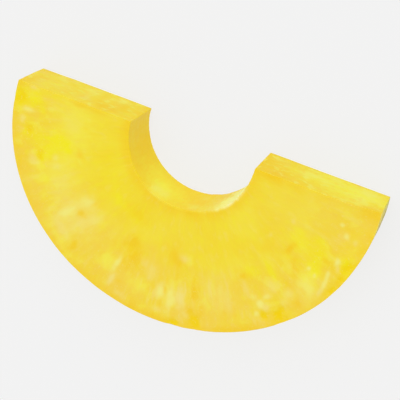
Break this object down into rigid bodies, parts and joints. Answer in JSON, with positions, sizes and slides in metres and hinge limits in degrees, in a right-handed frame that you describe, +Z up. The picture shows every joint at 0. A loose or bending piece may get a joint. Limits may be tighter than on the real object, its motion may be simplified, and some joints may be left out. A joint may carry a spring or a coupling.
{
  "type": "pineapple half ring",
  "caption": "Half of a peeled, cored pineapple ring: a flat, slightly oval half disc of yellow flesh with a half-round core notch in its straight cut side.",
  "frame": {"origin": "centre of the bounding box's base, on the flat underside", "axes": "+X along the straight knife cut, +Y towards the knife cut and the core notch, +Z up through the slice's thickness"},
  "size_m": [0.09, 0.0464, 0.0127],
  "materials": {
    "flesh": "satin"
  },
  "bodies": {
    "root": {"pineapple_half_ring": "flesh"}
  },
  "joints": []
}
